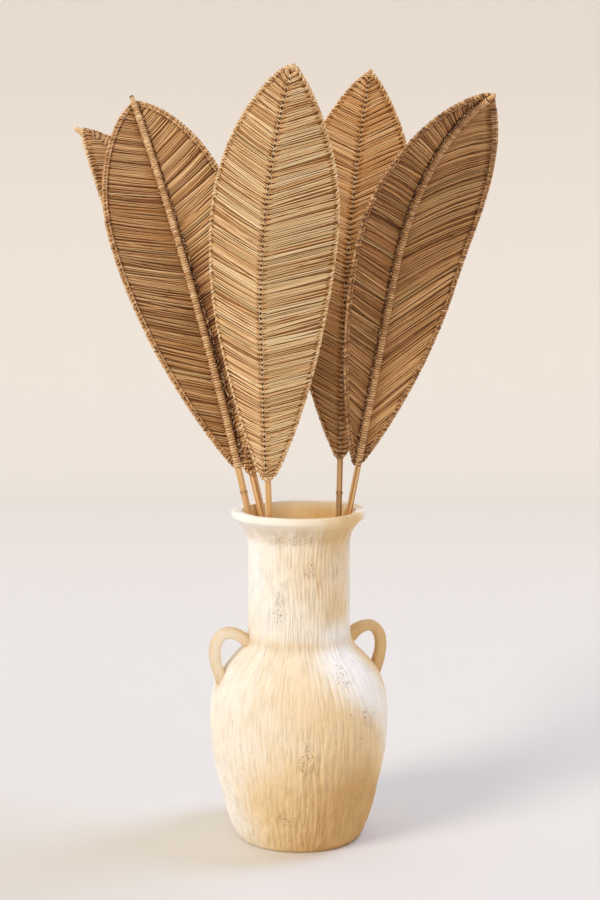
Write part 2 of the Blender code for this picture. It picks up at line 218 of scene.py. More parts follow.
# Colours, and the ramps that the finishes read them from
STRAW_COLOURS = ((0.05, (92, 54, 26)), (0.25, (164, 112, 64)), (0.45, (214, 164, 108)),
                 (0.65, (240, 204, 152)), (0.95, (250, 234, 198)))
HEM_COLOURS = ((0.1, (98, 62, 46)), (0.35, (180, 130, 82)), (0.6, (226, 182, 128)),
               (0.95, (248, 224, 184)))
GREEN_STRAW = (182, 170, 118)
# Also the painted warm bounce light on leaf_3 and leaf_4.
ORANGE_STRAW_AND_BOUNCE = (214, 150, 78)
CANE_COLOURS = ((0.3, (128, 82, 44)), (0.42, (196, 142, 84)), (0.55, (226, 182, 120)),
                (0.76, (246, 218, 168)))
NODE_BROWN = (84, 54, 30)
# Read along the wash: the ochre end also paints shade, the palest end also paints highlight.
WARE_COLOURS = ((0, (247, 243, 235)), (0.35, (243, 233, 214)), (0.65, (236, 208, 163)),
                (1, (211, 171, 115)))
INSIDE_COLOURS = ((0.25, (214, 172, 106)), (0.5, (238, 200, 134)), (0.75, (246, 216, 158)))
# Ochre in the combing grooves, partly the glaze's own, partly painted shade.
GROOVE_OCHRE_AND_SHADE = (206, 168, 112)
# Ochre for the painted shade in the hollows.
HOLLOW_SHADE_OCHRE = (206, 168, 110)
PIT_BROWN = (148, 104, 58)
LIP_CREAM = (242, 228, 198)

# One column for each leaf, leaf_1 to leaf_5.
LEAVES = {
    "rim": ((-0.0387, -0.0551), (-0.0657, -0.016), (-0.0513, 0.0424), (0.0549, 0.026), (0.0668, 0)),
    "foot": ((-0.0267, 0.0444), (0.0238, 0.012), (0.0507, -0.0366), (0.0449, 0.0078),
             (-0.0105, 0.05)),
    "cane": (0.0043, 0.0045, 0.0055, 0.0041, 0.0041),  # its radius, up to the blade
    "node": (-0.1, 0.038, -0.105, 0.03, -0.112),  # the cane's first node, past the rim
    "start": (0.064, 0.07, 0.053, 0.076, 0.072),  # the blade's lower end, past the rim
    "length": (0.535, 0.542, 0.561, 0.526, 0.563),
    "half": (0.1, 0.096, 0.098, 0.092, 0.092),  # half the blade's width where it is widest
    "foot_half": (0.0105, 0.0045, 0.0045, 0.0045, 0.005),
    "bend_start": (0.254, 0, 0.262, 0.189, 0.336),
    # curvature of the cane to the right and to the back
    "bend": ((0.84, -0.16), (-0.25, 0.91), (-2.15, 0.12), (0.33, 0.11), (1.58, -3.36)),
    "roll": (12.4, -2.3, -33.2, 6.4, -29.3),  # degrees, as the two below
    "twist": (-5.1, -4, -49.6, 0.9, -19.6),
    "droop": (33, 24.9, 12.8, 20.6, 21.2),
    "front": (1, -1, 1, 1, -1),  # 1 if the woven face looks to the front, -1 if the bound side does
    "past": (0, 0.008, 0.009, 0.004, 0.009),  # how far the cane reaches past the tip
    # rise of each half's straws in degrees, from the foot to the tip
    "left": ((8, 12, 11, 12, 9), (23, 23, 17, 12, 14), (20, 22, 28, 36, 40), (27, 23, 20, 20, 21),
             (31, 22, 19, 30, 52)),
    "right": ((8, 6, 11, 20, 25), (16, 15, 15, 16, 20), (20, 20, 20, 20, 20), (25, 25, 27, 31, 35),
              (50, 44, 39, 50, 60)),
    # The low tones of leaf_2 and leaf_5 are partly painted shade.
    "tone": (0.685, 0.47, 0.61, 0.59, 0.375),  # how light the straw is
    # Painted light: the right half's lighter straw stands in for how the light falls on that half.
    "lighter": (0.07, 0.05, 0, 0, 0.06),  # how much lighter the right half is
    # Painted warm bounce light: the strong orange of leaf_3 and leaf_4.
    "tint": (0, -0.2, -1.7, -1.9, 0.15),  # below 0 more orange, above 0 greener
    # Painted shade: each straw darker on its flanks, as where neighbouring straws shade it.
    "flank": (0.27, 0.13, 0.11, 0.17, 0.13),  # how much darker each straw is on its flanks
    # the half on which the wound cane's shadow is painted, and that painted shadow's width at the
    # foot and the tip
    "gutter_side": (0, 1, 0, 0, -1),
    "gutter_widths": ((0, 0), (0.0085, 0.002), (0, 0), (0, 0), (0.003, 0.0022)),
    "dark_end": (0, 1, 0, 0, 0),
    "dark_foot": (0, 0, 0, 1, 0),
}


class Leaf:
    """One leaf, with its column of the table: the line of its cane, and the blade's pose."""

    def __init__(self, column):
        self.name = "leaf_%d" % (column + 1)
        for field, values in LEAVES.items():
            setattr(self, field, values[column])
        self.roll, self.twist, self.droop = np.radians([self.roll, self.twist, self.droop])
        self.random = np.random.default_rng(sum(self.name.encode()))
        pitches = BUNDLE_PITCH * self.random.uniform(0.85, 1.15, BUNDLES)
        gaps = FIRST_GAP + np.cumsum(pitches)
        self.gaps = gaps[gaps < self.length - LAST_GAP]  # where bundles meet along the midline

    def rise(self, side, y):
        rises = self.left if side < 0 else self.right
        degrees = np.interp(y / self.length, RISE_SHARES, rises)
        degrees = degrees + (FOOT_FAN[1] - degrees) * fade(y, FOOT_FAN[0], 0)
        return degrees + (TIP_FAN[1] - degrees) * fade(y, self.length - TIP_FAN[0], self.length)

    def slope(self, side, y):
        return np.tan(np.radians(self.rise(side, y)))

    # How far the cane's painted shadow reaches from the midline at y.
    def cane_shadow_width(self, y):
        return self.cane + np.interp(y / self.length, (0, 1), self.gutter_widths)


def linear(colour):
    """A colour of 0 to 255, as seen on a screen, as the shader's linear one."""
    share = np.array(colour, float) / 255
    return (*np.where(share <= 0.04045, share / 12.92, ((share + 0.055) / 1.055) ** 2.4), 1)


class Finish:
    """A Principled material, with short calls that add nodes in front of it."""

    def __init__(self, name, roughness, specular):
        self.material = bpy.data.materials.new(name)
        self.material.use_nodes = True
        self.tree = self.material.node_tree
        self.shader = self.tree.nodes["Principled BSDF"]
        self.shader.inputs["Roughness"].default_value = roughness
        self.shader.inputs["Specular IOR Level"].default_value = specular

    def node(self, kind, inputs, **settings):
        """A new node, with a value or another node's output at each input named."""
        node = self.tree.nodes.new("ShaderNode" + kind)
        for name, value in settings.items():
            setattr(node, name, value)
        for key, value in inputs.items():
            self.plug(node.inputs[key], value)
        return node

    def plug(self, socket, value):
        if isinstance(value, bpy.types.NodeSocket):
            self.tree.links.new(value, socket)
        else:
            socket.default_value = value

    def read(self, name, output="Fac"):
        node = self.node("Attribute", {}, attribute_type="GEOMETRY", attribute_name=name)
        return node.outputs[output]

    def noise(self, vector, scale, detail=3, roughness=0.5, stretch=None):
        if stretch:
            vector = self.scaled(vector, stretch)
        inputs = {"Vector": vector, "Scale": scale, "Detail": detail, "Roughness": roughness}
        return self.node("TexNoise", inputs).outputs["Fac"]

    def scaled(self, vector, scale):
        return self.node("VectorMath", {0: vector, 1: scale}, operation="MULTIPLY").outputs[0]

    def cells(self, vector, scale):
        return self.node("TexVoronoi", {"Vector": vector, "Scale": scale}).outputs["Distance"]

    def maths(self, kind, *values):
        return self.node("Math", dict(enumerate(values)), operation=kind).outputs[0]

    def times(self, first, second):
        return self.maths("MULTIPLY", first, second)

    def times_plus(self, first, second, third):
        return self.maths("MULTIPLY_ADD", first, second, third)

    def span(self, *values):
        """A value from low to high, smoothly taken to 0 to 1 or to the span given."""
        inputs = dict(enumerate(values))
        return self.node("MapRange", inputs, interpolation_type="SMOOTHSTEP").outputs[0]

    def ramp(self, value, stops):
        node = self.node("ValToRGB", {0: value})
        points = node.color_ramp.elements
        while len(points) < len(stops):
            points.new(0.5)
        for point, (place, colour) in zip(points, stops):
            point.position = place
            point.color = linear(colour)
        return node.outputs[0]

    def mix(self, share, first, colour):
        inputs = {0: share, 6: first, 7: linear(colour)}
        return self.node("Mix", inputs, data_type="RGBA").outputs[2]

    def colour(self, value):
        self.plug(self.shader.inputs["Base Color"], value)

    def made(self, colour, height, strength, distance):
        """The finish with this colour and this relief."""
        self.colour(colour)
        inputs = {"Height": height, "Strength": strength, "Distance": distance}
        self.plug(self.shader.inputs["Normal"], self.node("Bump", inputs).outputs[0])
        return self


def unit(vectors):
    return vectors / np.maximum(np.linalg.norm(vectors, axis=-1, keepdims=True), 1e-12)


def bell(*parts):
    """One where every part is zero, falling off on all sides."""
    return np.exp(-sum(part ** 2 for part in parts))


def turns(count):
    """Even turns round a circle."""
    return 2 * np.pi * np.arange(count) / count


def fade(value, low, high):
    share = np.clip((value - low) / (high - low), 0, 1)
    return share * share * (3 - 2 * share)


def show(name, data):
    """An object with this data, in the scene."""
    shown = bpy.data.objects.new(name, data)
    bpy.context.scene.collection.objects.link(shown)
    return shown


def add_piece(name, vertices, faces, look, nodes, values):
    """A smooth mesh of four-cornered faces, with values kept on its points for the material."""
    mesh = bpy.data.meshes.new(name)
    mesh.vertices.add(len(vertices))
    mesh.vertices.foreach_set("co", vertices.astype(np.float32).ravel())
    mesh.loops.add(faces.size)
    mesh.loops.foreach_set("vertex_index", faces.astype(np.int32).ravel())
    mesh.polygons.add(len(faces))
    mesh.polygons.foreach_set("loop_start", np.arange(0, faces.size, 4, dtype=np.int32))
    mesh.update(calc_edges=True)
    for label, value in values.items():
        kind, key = ("FLOAT_VECTOR", "vector") if value.ndim == 2 else ("FLOAT", "value")
        data = mesh.attributes.new(label, kind, "POINT").data
        data.foreach_set(key, value.astype(np.float32).ravel())
    mesh.materials.append(look.material)
    mesh.shade_smooth()
    piece = show(name, mesh)
    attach(piece, "root")
    if nodes:
        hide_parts(*nodes)


class Straws:
    """Collects batches of thin bars into one mesh."""

    def __init__(self, leaf):
        self.leaf = leaf
        self.parts = {"vertices": [], "faces": [], "shade": [], "grain": [], "tint": []}
        self.count = 0

    def add(self, points, normals, wide, high, sides, shade, tint=None, closed=False, flank=0):
        """One bar along each row of points, wide across the surface and high along its normal."""
        if points.ndim == 2:
            points, normals, shade = points[None], normals[None], shade[None]
        count, steps = points.shape[:2]
        ahead = np.roll(points, -1, axis=1) - np.roll(points, 1, axis=1)
        along = unit(ahead if closed else np.gradient(points, axis=1))
        across = unit(np.cross(normals, along))
        up = np.cross(along, across)
        wide, high = (np.broadcast_to(v, (count, steps))[:, :, None, None] for v in (wide, high))
        turn = turns(sides)
        cosine, sine = np.cos(turn), np.sin(turn)
        ring = across[:, :, None] * wide * cosine[:, None] + up[:, :, None] * high * sine[:, None]
        index = self.count + np.arange(count * steps * sides).reshape(count, steps, sides)
        near = np.stack([index, np.roll(index, -1, axis=2)], -1)
        walls = np.concatenate([near, np.roll(near, -1, axis=1)[..., ::-1]], -1)
        if not closed:
            walls = walls[:, :-1]
            for corner in range(1, sides - 2, 2):
                lid = [0, corner, corner + 1, corner + 2]
                self.parts["faces"] += [index[:, 0][:, lid[::-1]], index[:, -1][:, lid]]
        self.parts["faces"].append(walls.reshape(-1, 4))
        self.parts["vertices"].append((points[:, :, None] + ring).reshape(-1, 3))
        self.count += count * steps * sides
        step = np.linalg.norm(np.diff(points, axis=1, prepend=points[:, :1]), axis=2)
        distance = np.cumsum(step, axis=1)[:, :, None] / FIBRE_LENGTH
        offset = self.leaf.random.uniform(0, GRAIN_SPREAD, (count, 1, 1, 2))
        grain = (2 * cosine + offset[..., 0], distance + offset[..., 1], 2 * sine)
        grain = np.stack(np.broadcast_arrays(*grain), -1)
        self.parts["grain"].append(grain.reshape(-1, 3))
        if shade.ndim == 1:
            shade = shade[:, None]
        # Painted shade: each bar darker towards its flanks.
        shade = shade[:, :, None] - flank * cosine ** 2
        self.parts["shade"].append(np.broadcast_to(shade, (count, steps, sides)).ravel())
        if tint is None:
            tint = self.leaf.random.normal(0, 0.5, count)
        self.parts["tint"].append(np.repeat(tint, steps * sides))

    def lay(self, x, y, lift, *bars, **looks):
        """Bars laid on the leaf at x across and y along, lifted off its middle."""
        self.add(*sheet(self.leaf, x, y, lift), *bars, **looks)

    def loop(self, x, y, lift, *bars, **looks):
        """Closed bars laid on the leaf the same way, flat round their own middle."""
        points, _ = sheet(self.leaf, x, y, lift)
        outwards = unit(points - points.mean(axis=-2, keepdims=True))
        self.add(points, outwards, *bars, closed=True, **looks)

    def piece(self, name, look, slot, *nodes):
        values = {label: np.concatenate(parts) for label, parts in self.parts.items()}
        vertices = np.clip(values.pop("vertices"), *np.array(cad_box))
        name, slot, *nodes = (self.leaf.name + "_" + word for word in (name, slot, *nodes))
        add_piece(name, vertices, values.pop("faces"), look, nodes, values)


def tones(leaf, lighter, spread, count, low=0.05, high=0.98):
    return np.clip(leaf.tone + lighter + leaf.random.normal(0, spread, count), low, high)


def cane_radius(leaf, at):
    share = np.clip((at - leaf.start) / leaf.length, 0, 1)
    return leaf.cane * (1 - (1 - CANE_TIP_SHARE) * share)


def cane_path(leaf, at):
    """Points and directions of the cane at distances past its rim point, negative ones below."""
    rim = np.array([*leaf.rim, RIM_Z])
    straight = unit(rim - [*leaf.foot, FLOOR_Z])
    across = np.array([*leaf.bend, 0])
    across = unit(across - (across @ straight) * straight)
    curvature = np.hypot(*leaf.bend)
    turned = np.clip(at - leaf.bend_start, 0, None) * curvature
    before = np.minimum(at, leaf.bend_start)[:, None]
    sine, cosine = np.sin(turned)[:, None], np.cos(turned)[:, None]
    points = rim + (before + sine / curvature) * straight + (1 - cosine) / curvature * across
    return points, cosine * straight + sine * across


def frames(leaf, at):
    """Cane points, and the blade's right and woven-face directions there."""
    points, along = cane_path(leaf, at)
    viewer = np.array([0, -1, 0])
    facing = unit(viewer - (along @ viewer)[:, None] * along)
    side = np.cross(along, facing)
    share = (at - leaf.start) / leaf.length
    roll = (leaf.roll + leaf.twist * (share - 0.5))[:, None]
    right = side * np.cos(roll) + facing * np.sin(roll)
    woven = (facing * np.cos(roll) - side * np.sin(roll)) * leaf.front
    return points, along, right, woven


def sheet(leaf, x, y, lift):
    """Points and normals of the leaf at x across and y along, lifted off its middle."""
    x, y, lift = np.broadcast_arrays(x, y, lift)
    shape = x.shape
    x, y, lift = x.ravel(), y.ravel(), lift.ravel()
    points, _, right, woven = frames(leaf, leaf.start + y)
    drop = np.sin(leaf.droop)
    reach = np.cos(leaf.droop)
    away = np.sqrt(x * x + RIDGE_SOFTNESS ** 2)
    half = np.maximum(half_width(leaf, np.clip(y, 0.004, leaf.length - 0.004)), 0.004)
    arch = CAMBER * np.sin(np.pi * np.clip(np.abs(x) / half, 0, 1)) * (half / leaf.half)
    stack = (cane_radius(leaf, leaf.start + y) + BLADE_SEAT) / reach
    normal = woven * reach + right * (x / away * drop)[:, None]
    places = (points + woven * (stack - away * drop)[:, None] + right * (x * reach)[:, None]
              + normal * (lift + arch)[:, None])
    return places.reshape(*shape, 3), normal.reshape(*shape, 3)


def half_width(leaf, y):
    """Half the leaf's width at a distance y from its lower end."""
    share = np.clip(y / leaf.length, 0, 1)
    rise = np.sin(np.pi / 2 * np.clip(share / WIDEST_AT, 0, 1)) ** LOWER_POWER
    lower = leaf.foot_half + (leaf.half - leaf.foot_half) * rise
    lower = lower * np.sqrt(1 - (1 - np.clip(y / FOOT_ROUND, 0, 1)) ** 2)
    fall = np.sin(np.pi / 2 * np.clip((1 - share) / (1 - WIDEST_AT), 0, 1))
    upper = leaf.half * fall ** UPPER_POWER
    return np.where(share < WIDEST_AT, lower, upper)


def inset_outline(leaf, inset):
    """The right half of the outline moved inwards, as distances across and along, foot to tip."""
    angle = np.linspace(0, np.pi, 400)[1:-1]
    y = leaf.length * (1 - np.cos(angle)) / 2
    x = half_width(leaf, y)
    along = unit(np.gradient(np.stack([x, y], -1), axis=0))
    x, y = x - inset * along[:, 1], y + inset * along[:, 0]
    kept = (x > 0) & (y >= np.maximum.accumulate(y))
    return x[kept], y[kept]


def strand_reach(edge, starts, slopes, least):
    """Which strands get far enough across, and the slopes and reaches of those."""
    x, y = edge
    reach = np.zeros(len(starts))
    for k, (start, slope) in enumerate(zip(starts, slopes)):
        level = y - start - x * slope
        crossings = np.nonzero((level[:-1] < 0) & (level[1:] >= 0))[0]
        if len(crossings):
            last = crossings[-1]
            share = level[last] / (level[last] - level[last + 1])
            reach[k] = x[last] + share * (x[last + 1] - x[last])
    kept = reach > least
    return kept, slopes[kept, None], reach[kept, None]


def straw_rows(leaf, side, layer):
    """Straws of one layer of one half: bundle place, place in it, its pitch, slope and colours."""
    random = leaf.random
    rows = []
    for low, high in zip(leaf.gaps[:-1], leaf.gaps[1:]):
        place, pitch = (low + high) / 2, high - low
        degrees = leaf.rise(side, place) + random.normal(0, 0.9)
        # Painted light on the right half, lighter by the leaf's share; the leaf's tone is partly
        # painted shade.
        tone = leaf.tone + leaf.lighter * (side > 0) + random.normal(0, 0.03)
        # The leaf's tint; its strong orange on leaf_3 and leaf_4 is painted warm bounce light.
        tint = leaf.tint + random.normal(0, 0.6)
        count = max(3, round(pitch * np.cos(np.radians(degrees)) / STRAW_SPACING))
        start = 0.5 if layer == leaf.front else 0  # the hidden layer lies under the gaps
        for k in range(count):
            offset = pitch * ((k + start + random.normal(0, 0.07)) / count - 0.5)
            loose = 2.6 if random.random() < 0.08 else 0.6
            own = random.normal(-0.17, 0.05) if random.random() < 0.1 else random.normal(0.02, 0.07)
            rows.append((place, offset, pitch, degrees + random.normal(0, loose), tone + own,
                         tint + random.normal(0, 0.5)))
    return np.array(rows)


def make_strands(leaf, look):
    """Two layers of straws on each half, gathered in bundles at the midline and at the hem."""
    straws = Straws(leaf)
    x, y = inset_outline(leaf, STRAW_INSET)
    edge = np.array([[0, *x, 0], [y[0], *y, y[-1] + x[-1] / 2]])
    for side in (-1, 1):
        for layer in (1, -1):
            add_layer(leaf, side, layer, straws, edge)
        shadow_layer(leaf, side, straws, edge)
    straws.piece("strands", look, "woven_straw", "blade")


def add_layer(leaf, side, layer, straws, edge):
    """The straws of one half on the woven face, 1, or on the bound side, -1."""
    random = leaf.random
    rows = straw_rows(leaf, side, layer)
    slopes = np.tan(np.radians(rows[:, 3]))
    kept, slope, reach = strand_reach(edge, rows[:, 0] + rows[:, 1], slopes, 0.0025)
    place, offset, pitch, _, tone, tint = rows[kept].T[:, :, None]
    x, scale = bends(reach)
    to_end = reach - x
    pinch = bell((to_end - PINCH * scale) / (0.0024 * scale))
    gathered = (0.44 + 0.54 * fade(x, -0.0015, 0.0085)) * (1 - 0.56 * pinch)
    bow = random.normal(0, 0.0005, slope.shape) * np.sin(np.pi * x / reach)
    y = place + offset * gathered + x * slope + bow
    crown = 1 - (2 * offset / pitch) ** 2
    crown = crown * (0.0004 + 0.0009 * bell((x - 0.005) / 0.004))
    loose = np.abs(random.normal(0, 0.00022, slope.shape))
    dive = fade(x, -0.0008, 0.003) * (0.3 + 0.7 * fade(to_end, 0, 0.003))
    lift = layer * (LAYER_LIFT + crown + loose) * dive
    wide = STRAW_HALF_WIDTH * random.uniform(0.82, 1.12, slope.shape)
    high = STRAW_HALF_HEIGHT * random.uniform(0.85, 1.2, slope.shape)
    # Painted shade near the midline, where the straws dive into the crease; paler at the hem end.
    shade = tone - 0.34 * fade(x, 0.0052, 0.0005) + 0.16 * fade(to_end, PINCH, 0)
    # Painted shade at the pinch, in the gaps between bundles, deeper on the hidden layer.
    shade -= (0.2 if layer == leaf.front else 0.45) * pinch
    # Painted shade on the bound side near the cane, and on one half the cane's painted shadow.
    if layer < 0:
        shade -= 0.14 * fade(x, 0.012, 0.004)
        if side == leaf.gutter_side:
            width = leaf.cane_shadow_width(place)
            shade -= 0.4 * fade(x, 1.15 * width, 0.75 * width)
    straws.lay(side * x, y, lift, wide, high, 4, shade, tint[:, 0], flank=leaf.flank)


def bends(reach):
    """How far across the leaf each straw is bent, and how much its bends are drawn together."""
    scale = np.minimum(1, reach / SHORT_STRAW)
    start = 0.0005 + np.array(FROM_MIDLINE) * scale
    end = reach - np.array(FROM_HEM) * scale
    middle = start[:, -1:] + (end[:, :1] - start[:, -1:]) * np.array([1 / 3, 2 / 3])
    return np.hstack([start, middle, end]), scale


def shadow_layer(leaf, side, straws, edge):
    """Flat straws in the middle of the weave, which close the gaps between the others, dark as
    painted shade.
    """
    starts = np.arange(0.001, leaf.length - 0.002, SHADOW_LAYER_SPACING)
    kept, slope, reach = strand_reach(edge, starts, leaf.slope(side, starts), 0.003)
    x = 0.0015 + (reach - SHADOW_LAYER_START) * np.array([0, 0.33, 0.67, 1])
    # Dark as painted shade in the gaps.
    shade = np.full(len(reach), max(0.17, 0.55 * leaf.tone - 0.1))
    straws.lay(side * x, starts[kept, None] + x * slope, 0, *SHADOW_LAYER_HALF, 4, shade)


def distance_along(line):
    return np.append(0, np.cumsum(np.linalg.norm(np.diff(line, axis=0), axis=1)))


def read_along(distances, along, line):
    """The points of a line at distances along it."""
    return np.stack([np.interp(distances, along, line[:, i]) for i in range(2)], -1)


class Outline:
    """The closed line at an inset, read by the distance along it."""

    def __init__(self, leaf, inset):
        x, y = inset_outline(leaf, inset)
        self.loop = np.stack([[*x, *-x[::-1], x[0]], [*y, *y[::-1], y[0]]], -1)
        self.along = distance_along(self.loop)
        self.length = self.along[-1]

    def at(self, distances):
        return read_along(distances % self.length, self.along, self.loop)

    def nearest(self, x, y):
        away = np.hypot(self.loop[:, 0] - x, self.loop[:, 1] - y)
        return self.along[away.argmin(axis=1)]


def lashing_places(leaf, outline):
    """Distances along the outline at which bundles part, with more where none do."""
    x, y = outline.loop[:len(outline.loop) // 2].T
    edge = np.array([[0, *x], [y[0], *y]])
    places = []
    for side in (-1, 1):
        slopes = leaf.slope(side, leaf.gaps)
        kept, slope, reach = strand_reach(edge, leaf.gaps, slopes, 0.004)
        places += [*outline.nearest(side * reach, leaf.gaps[kept, None] + slope * reach)]
    places = np.unique(places)
    places = places[np.append(True, np.diff(places) > LASHING_PITCH / 2)]
    ahead = np.append(places[1:], places[0] + outline.length)
    extra = [np.linspace(a, b, int((b - a) / LASHING_PITCH + 0.4) + 1)[1:-1]
             for a, b in zip(places, ahead) if b - a > 1.4 * LASHING_PITCH]
    return np.concatenate([places, *extra])


def make_hem(leaf, look):
    """The edge cord and the rod beside it, lashed to the bundles where these part."""
    random = leaf.random
    straws = Straws(leaf)
    outline = Outline(leaf, OUTER_INSET)
    rod = (Outline(leaf, INNER_INSET), INNER_ROD, ROD_LIFT)
    for line, radius, lift in ((outline, OUTER_CORD, 0), rod):
        even = line.at(np.linspace(0, line.length, int(line.length / HEM_STEP), endpoint=False))
        size = radius * (1 + 0.12 * random.normal(0, 1, len(even)).clip(-1.5, 1.5))
        shade = tones(leaf, 0.02, 0.12, len(even), high=0.95)
        straws.lay(*even.T, lift, size, size, 6, shade, closed=True, flank=0.12)
    places = lashing_places(leaf, outline)
    spot = outline.at(places)
    along = unit(outline.at(places + 0.001) - outline.at(places - 0.001))
    inward = np.stack([-along[:, 1], along[:, 0]], -1)
    inset, lift, slide, wide = np.array(LASHING_TURN).T * MM
    count = (len(places), 1)
    inset = inset * random.uniform(0.9, 1.08, count) - OUTER_INSET
    slide = slide + random.normal(0, 0.0006, count)
    spots = spot[:, None] + inward[:, None] * inset[..., None] + along[:, None] * slide[..., None]
    shade = tones(leaf, 0.12, 0.14, len(places))
    wide = wide * random.uniform(0.8, 1.1, count)
    straws.loop(spots[..., 0], spots[..., 1], lift, wide, LASHING_THIN, 4, shade, flank=0.25)
    straws.piece("hem", look, "hem", "hoop")


def end_wraps(leaf, straws):
    """Turns of straw across the leaf and round its cane that close both of its ends."""
    random = leaf.random
    turn = turns(20)
    cosine, sine = np.cos(turn), np.sin(turn)
    ends = [0.0026 + WRAP_SPACING * k for k in range(3)]
    ends += [leaf.length - 0.004 - WRAP_SPACING * k for k in range(2)]
    for y in ends:
        half = min(half_width(leaf, y), WRAP_HALF)
        deep = cane_radius(leaf, leaf.start + y) + WRAP_OFF
        lift = np.where(sine > 0, WRAP_OFF, -2 * deep) * np.abs(sine) ** 0.55
        x = half * np.sign(cosine) * np.abs(cosine) ** 0.6 * np.where(sine < 0, 0.75, 1)
        slide = random.normal(0, 0.0003) + 0.0012 * np.cos(turn + random.normal(0, 0.6))
        shade = np.array([leaf.tone + random.normal(-0.05, 0.1)])
        straws.loop(x, y + slide, lift, 0.001, 0.0005, 4, shade, flank=0.2)


def make_stitch(leaf, look):
    """Two threads that cross over each bundle at the midline and dip between the bundles."""
    random = leaf.random
    straws = Straws(leaf)
    gaps = leaf.gaps[:-1]
    count = len(gaps)
    reach = np.minimum(STITCH_REACH, half_width(leaf, gaps) * 0.4)
    turning = np.arange(count)
    steps = np.arange(0, count - 1, 0.25)
    for side in (-1, 1):
        swing = side * (-1) ** turning * reach * random.uniform(0.7, 1.25, count)
        y = gaps + np.abs(swing) * 0.3 + random.normal(0, 0.0004, count)
        tone = leaf.tone + 0.1 + random.normal(0, 0.16, count)
        swing, y, tone = (np.interp(steps, turning, values) for values in (swing, y, tone))
        over = np.sin(np.pi * (steps % 1))
        # Painted shade: the thread is darker where it dips between the bundles.
        shade = np.clip(tone - 0.35 * (1 - over), 0, 1)
        lift = -0.001 + 0.0031 * over ** 0.7 + side * 0.0002
        straws.lay(swing, y, lift, *STITCH_HALF, 4, shade)
    roots(leaf, straws)
    end_wraps(leaf, straws)
    straws.piece("stitch", look, "bound_straw")


def roots(leaf, straws):
    """Where the stitch comes out between the bundles and goes on to the wound cane."""
    gaps = leaf.gaps[:-1, None]
    radius = cane_radius(leaf, leaf.start + gaps)
    drop = np.array([-0.0002, -0.0012, -0.0026, -0.0046])
    for side in (-1, 1):
        out = radius + leaf.random.uniform(0.0026, 0.0042, gaps.shape)
        x = np.hstack([out * 0.9, out, radius + 0.0014, radius + 0.0004])
        x = np.minimum(x, half_width(leaf, gaps))
        y = gaps + np.tan(ROOT_RISE) * x + leaf.random.normal(0, 0.0004, gaps.shape)
        straws.lay(side * x, y, drop, 0.0006, 0.0004, 4, tones(leaf, 0.16, 0.16, len(gaps)))
    # Knots only where a half has the cane's painted shadow.
    if leaf.gutter_side:
        knots(leaf, straws)


def knots(leaf, straws):
    """Short ends of the stitching beside the wound cane, mostly dark as painted shadow, some pale.
    """
    random = leaf.random
    count = int(leaf.length / KNOT_SPACING)
    y = np.sort(random.uniform(0.012, leaf.length - 0.03, count))
    inner = cane_radius(leaf, leaf.start + y) + 0.0012
    x = inner + (leaf.cane_shadow_width(y) - inner) * random.uniform(0.2, 1.15, count)
    step = random.uniform(0.0007, 0.0015, (count, 1)) * np.array([-1, 0, 1])
    x = leaf.gutter_side * (x[:, None] + random.normal(0, 0.5, (count, 1)) * step)
    # Most knots dark, as painted shadow; about a quarter pale.
    shade = np.where(random.random(count) < 0.26, random.uniform(0.5, 0.9, count),
                     random.uniform(0, 0.3, count))
    straws.lay(x, y[:, None] + step, KNOT_LIFT, 0.0007, 0.0005, 4, shade)


def winding(leaf, at):
    """The middle, half thickness and directions of the straw wound round the cane."""
    points, along, right, woven = frames(leaf, at)
    core = cane_radius(leaf, at)
    padded = leaf.cane + (core - leaf.cane) * WINDING_TAPER
    middle = points - woven * (padded - core)[:, None]
    return middle, padded + WINDING_BASE, along, right, woven


def make_winding(leaf, look):
    """Straw wound round the cane behind the leaf, turn by turn, with two crossing ties."""
    straws = Straws(leaf)
    low = leaf.start + WINDING_START
    high = leaf.start + leaf.length - WINDING_END
    rings = int((high - low) / WINDING_PITCH)
    ring = np.arange(rings * 4 + 1) / 4
    swell = np.sin(np.pi * ring) ** 2 * leaf.random.uniform(0.8, 1.1, rings + 2)[ring.astype(int)]
    points, radius, along, _, woven = winding(leaf, np.linspace(low, high, len(ring)))
    radius = radius + WINDING_SWELL * swell
    tone = leaf.tone + WINDING_LIGHTER[leaf.front] + leaf.random.normal(0, 0.1, rings + 2)
    # Painted shade in the hollows between the turns.
    shade = np.clip(tone[ring.astype(int)] - 0.55 * (swell < 0.2), 0, 1)
    tilt = unit(woven + WINDING_TILT / leaf.cane * along)
    straws.add(points, tilt, radius, radius, WINDING_SIDES, shade)
    at = np.linspace(low + TIE_INSET, high - TIE_INSET, int((high - low) / TIE_PITCH * 8))
    points, radius, _, right, woven = winding(leaf, at)
    reach = (radius + WINDING_SWELL)[:, None]
    for hand in (-1, 1):
        turn = (hand * 2 * np.pi * at / TIE_PITCH)[:, None]
        outwards = right * np.cos(turn) + woven * np.sin(turn)
        shade = tones(leaf, -0.1, 0.12, len(at), 0, 1)
        straws.add(points + outwards * reach, outwards, *TIE_HALF, 4, shade)
    straws.piece("winding", look, "bound_straw", "binding")


